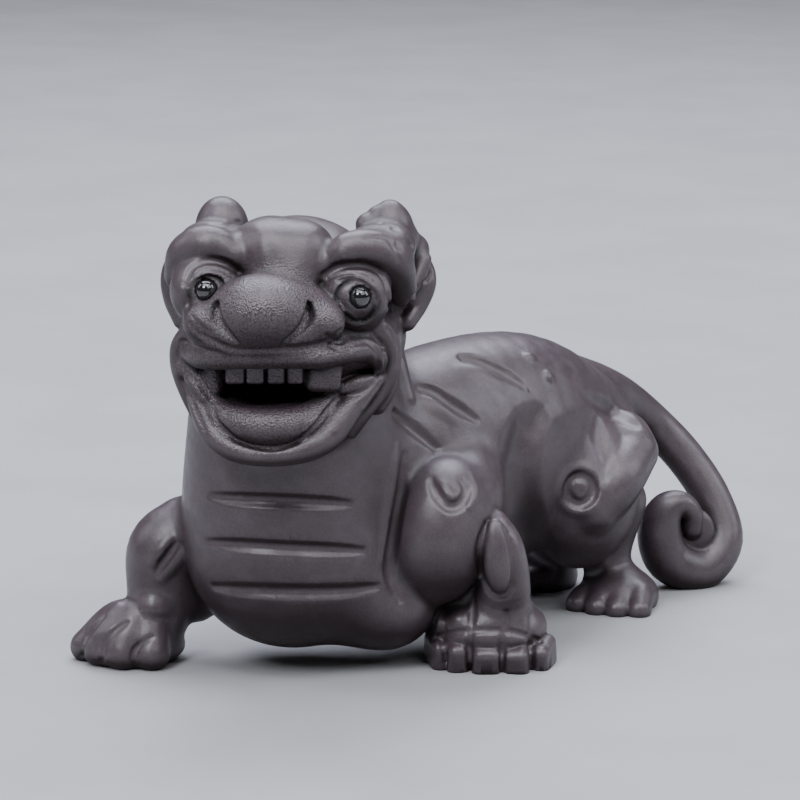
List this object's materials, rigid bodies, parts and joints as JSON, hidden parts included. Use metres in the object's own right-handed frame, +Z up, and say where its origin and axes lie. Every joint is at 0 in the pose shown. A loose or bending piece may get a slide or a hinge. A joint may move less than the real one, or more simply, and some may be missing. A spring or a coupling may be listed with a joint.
{
  "type": "pixiu figure",
  "caption": "Small crouching pixiu of purple-brown clay with an open-mouthed horned head, grooved chest, curled tail and black bead eyes; stands on its four paws as a tea-tray or desk ornament.",
  "frame": {"origin": "centre of the footprint box on the plane the four soles stand on", "axes": "+Z up, -Y where the head looks and +Y the tail end, +X the beast's left side, which is the figure's narrow direction"},
  "size_m": [0.0622, 0.1252, 0.0797],
  "materials": {
    "purple_clay": "unglazed satin",
    "black_bead": "polished"
  },
  "bodies": {
    "root": {"pixiu_body": "purple_clay", "right_eye": "black_bead", "left_eye": "black_bead"}
  },
  "joints": []
}
